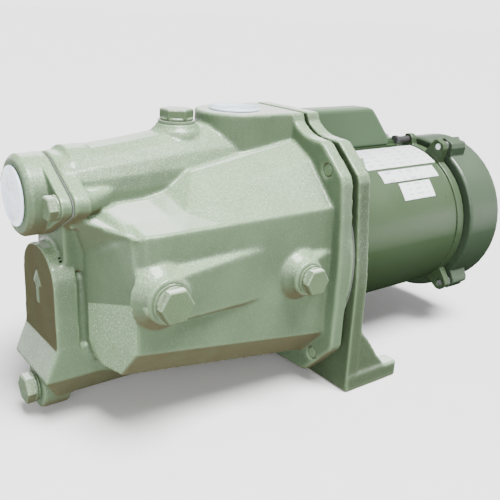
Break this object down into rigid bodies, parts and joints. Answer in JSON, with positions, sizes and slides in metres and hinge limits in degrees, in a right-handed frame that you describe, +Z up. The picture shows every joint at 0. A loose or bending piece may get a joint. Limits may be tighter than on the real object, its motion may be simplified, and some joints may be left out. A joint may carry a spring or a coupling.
{
  "type": "shallow well jet pump",
  "caption": "Shallow well jet pump: cast casing with built-in ejector, suction and discharge ports, motor bracket with foot, tubular motor, terminal box and fan cover.",
  "frame": {"origin": "middle of the foot's underside, under the shaft", "axes": "+X along the shaft towards the rear of the motor, +Z up, -Y the side with the two side plugs"},
  "size_m": [0.3891, 0.1845, 0.19],
  "materials": {
    "pump_casing": "green enamel on cast iron, slightly rough",
    "suction_flange": "green enamel on cast iron, slightly rough",
    "motor_bracket": "green enamel on cast iron, slightly rough",
    "suction_bolt_1": "hex bolt painted over with the casting",
    "suction_bolt_2": "hex bolt painted over with the casting",
    "priming_plug": "green enamel over hex-headed plug",
    "side_plug_1": "green enamel over hex-headed plug",
    "side_plug_2": "green enamel over hex-headed plug",
    "drain_plug": "green enamel over hex-headed plug",
    "motor_shell": "smooth green enamel",
    "rear_end_bell": "smooth green enamel",
    "fan_cover": "smooth green enamel",
    "terminal_box_hood": "smooth green enamel",
    "terminal_box_base": "smooth green enamel",
    "suction_transit_plug": "milky white polythene",
    "discharge_transit_plug": "milky white polythene",
    "priming_plug_washer": "matt fibre seal",
    "side_plug_washer_1": "matt fibre seal",
    "side_plug_washer_2": "matt fibre seal",
    "drain_plug_washer": "matt fibre seal",
    "casing_gasket": "matt fibre seal",
    "suction_gasket": "matt fibre seal",
    "check_valve_seat": "turned brass",
    "check_valve_flap": "moulded rubber",
    "ejector_nozzle": "turned brass",
    "venturi_tube": "moulded engineering plastic",
    "guide_housing": "moulded engineering plastic",
    "impeller": "cast brass",
    "impeller_nut": "cast brass",
    "seal_head": "carbon",
    "seal_seat": "lapped ceramic",
    "water_slinger": "moulded rubber",
    "flange_bolt_1": "zinc-plated steel",
    "flange_bolt_2": "zinc-plated steel",
    "flange_bolt_3": "zinc-plated steel",
    "flange_bolt_4": "zinc-plated steel",
    "tie_bolt_1": "zinc-plated steel",
    "tie_bolt_2": "zinc-plated steel",
    "tie_bolt_3": "zinc-plated steel",
    "tie_bolt_4": "zinc-plated steel",
    "fan_cover_screw_1": "zinc-plated steel",
    "fan_cover_screw_2": "zinc-plated steel",
    "fan_cover_screw_3": "zinc-plated steel",
    "terminal_box_screw": "zinc-plated steel",
    "motor_shaft": "ground steel",
    "front_bearing": "ground steel",
    "rear_bearing": "ground steel",
    "rotor_core": "stacked laminations",
    "stator_core": "stacked laminations",
    "winding_front": "varnished copper windings, bound with cord",
    "winding_rear": "varnished copper windings, bound with cord",
    "cooling_fan": "moulded plastic",
    "run_capacitor": "moulded plastic can",
    "terminal_block": "moulded plastic",
    "cable_gland": "moulded plastic",
    "motor_lead": "rubber sleeve",
    "nameplate": "printed film, its words left out",
    "sticker_1": "printed film, its words left out",
    "sticker_2": "printed film, its words left out"
  },
  "bodies": {
    "pump": {"pump_casing": "pump_casing", "suction_flange": "suction_flange", "motor_bracket": "motor_bracket", "suction_bolt_1": "suction_bolt_1", "suction_bolt_2": "suction_bolt_2", "motor_shell": "motor_shell", "rear_end_bell": "rear_end_bell", "fan_cover": "fan_cover", "terminal_box_hood": "terminal_box_hood", "terminal_box_base": "terminal_box_base", "casing_gasket": "casing_gasket", "suction_gasket": "suction_gasket", "check_valve_seat": "check_valve_seat", "ejector_nozzle": "ejector_nozzle", "venturi_tube": "venturi_tube", "guide_housing": "guide_housing", "seal_seat": "seal_seat", "flange_bolt_1": "flange_bolt_1", "flange_bolt_2": "flange_bolt_2", "flange_bolt_3": "flange_bolt_3", "flange_bolt_4": "flange_bolt_4", "tie_bolt_1": "tie_bolt_1", "tie_bolt_2": "tie_bolt_2", "tie_bolt_3": "tie_bolt_3", "tie_bolt_4": "tie_bolt_4", "fan_cover_screw_1": "fan_cover_screw_1", "fan_cover_screw_2": "fan_cover_screw_2", "fan_cover_screw_3": "fan_cover_screw_3", "terminal_box_screw": "terminal_box_screw", "front_bearing": "front_bearing", "rear_bearing": "rear_bearing", "stator_core": "stator_core", "winding_front": "winding_front", "winding_rear": "winding_rear", "run_capacitor": "run_capacitor", "terminal_block": "terminal_block", "cable_gland": "cable_gland", "motor_lead": "motor_lead", "nameplate": "nameplate", "sticker_1": "sticker_1", "sticker_2": "sticker_2"},
    "rotor": {"motor_shaft": "motor_shaft", "rotor_core": "rotor_core", "impeller": "impeller", "impeller_nut": "impeller_nut", "seal_head": "seal_head", "water_slinger": "water_slinger", "cooling_fan": "cooling_fan"},
    "check_valve": {"check_valve_flap": "check_valve_flap"},
    "suction_cap": {"suction_transit_plug": "suction_transit_plug"},
    "discharge_cap": {"discharge_transit_plug": "discharge_transit_plug"},
    "priming_closure": {"priming_plug": "priming_plug", "priming_plug_washer": "priming_plug_washer"},
    "front_side_closure": {"side_plug_1": "side_plug_1", "side_plug_washer_1": "side_plug_washer_1"},
    "rear_side_closure": {"side_plug_2": "side_plug_2", "side_plug_washer_2": "side_plug_washer_2"},
    "drain_closure": {"drain_plug": "drain_plug", "drain_plug_washer": "drain_plug_washer"}
  },
  "joints": [
    {"name": "shaft_spin", "type": "hinge", "parent": "pump", "child": "rotor", "pos_m": [0, 0, 0.09], "axis": [1, 0, 0], "continuous": true},
    {"name": "check_valve_swing", "type": "hinge", "parent": "pump", "child": "check_valve", "pos_m": [-0.1926, 0, 0.1576], "axis": [0, -1, 0], "range_deg": [0, 30]},
    {"name": "suction_cap_pull", "type": "slide", "parent": "pump", "child": "suction_cap", "axis": [-1, 0, 0], "range_m": [0, 0.03]},
    {"name": "discharge_cap_pull", "type": "slide", "parent": "pump", "child": "discharge_cap", "axis": [0, 0, 1], "range_m": [0, 0.03]},
    {"name": "priming_plug_unscrew", "type": "slide", "parent": "pump", "child": "priming_closure", "axis": [0, 0, 1], "range_m": [0, 0.025]},
    {"name": "side_plug_1_unscrew", "type": "slide", "parent": "pump", "child": "front_side_closure", "axis": [0, -1, 0], "range_m": [0, 0.03]},
    {"name": "side_plug_2_unscrew", "type": "slide", "parent": "pump", "child": "rear_side_closure", "axis": [0, -1, 0], "range_m": [0, 0.03]},
    {"name": "drain_plug_unscrew", "type": "slide", "parent": "pump", "child": "drain_closure", "axis": [-1, 0, 0], "range_m": [0, 0.025]}
  ]
}
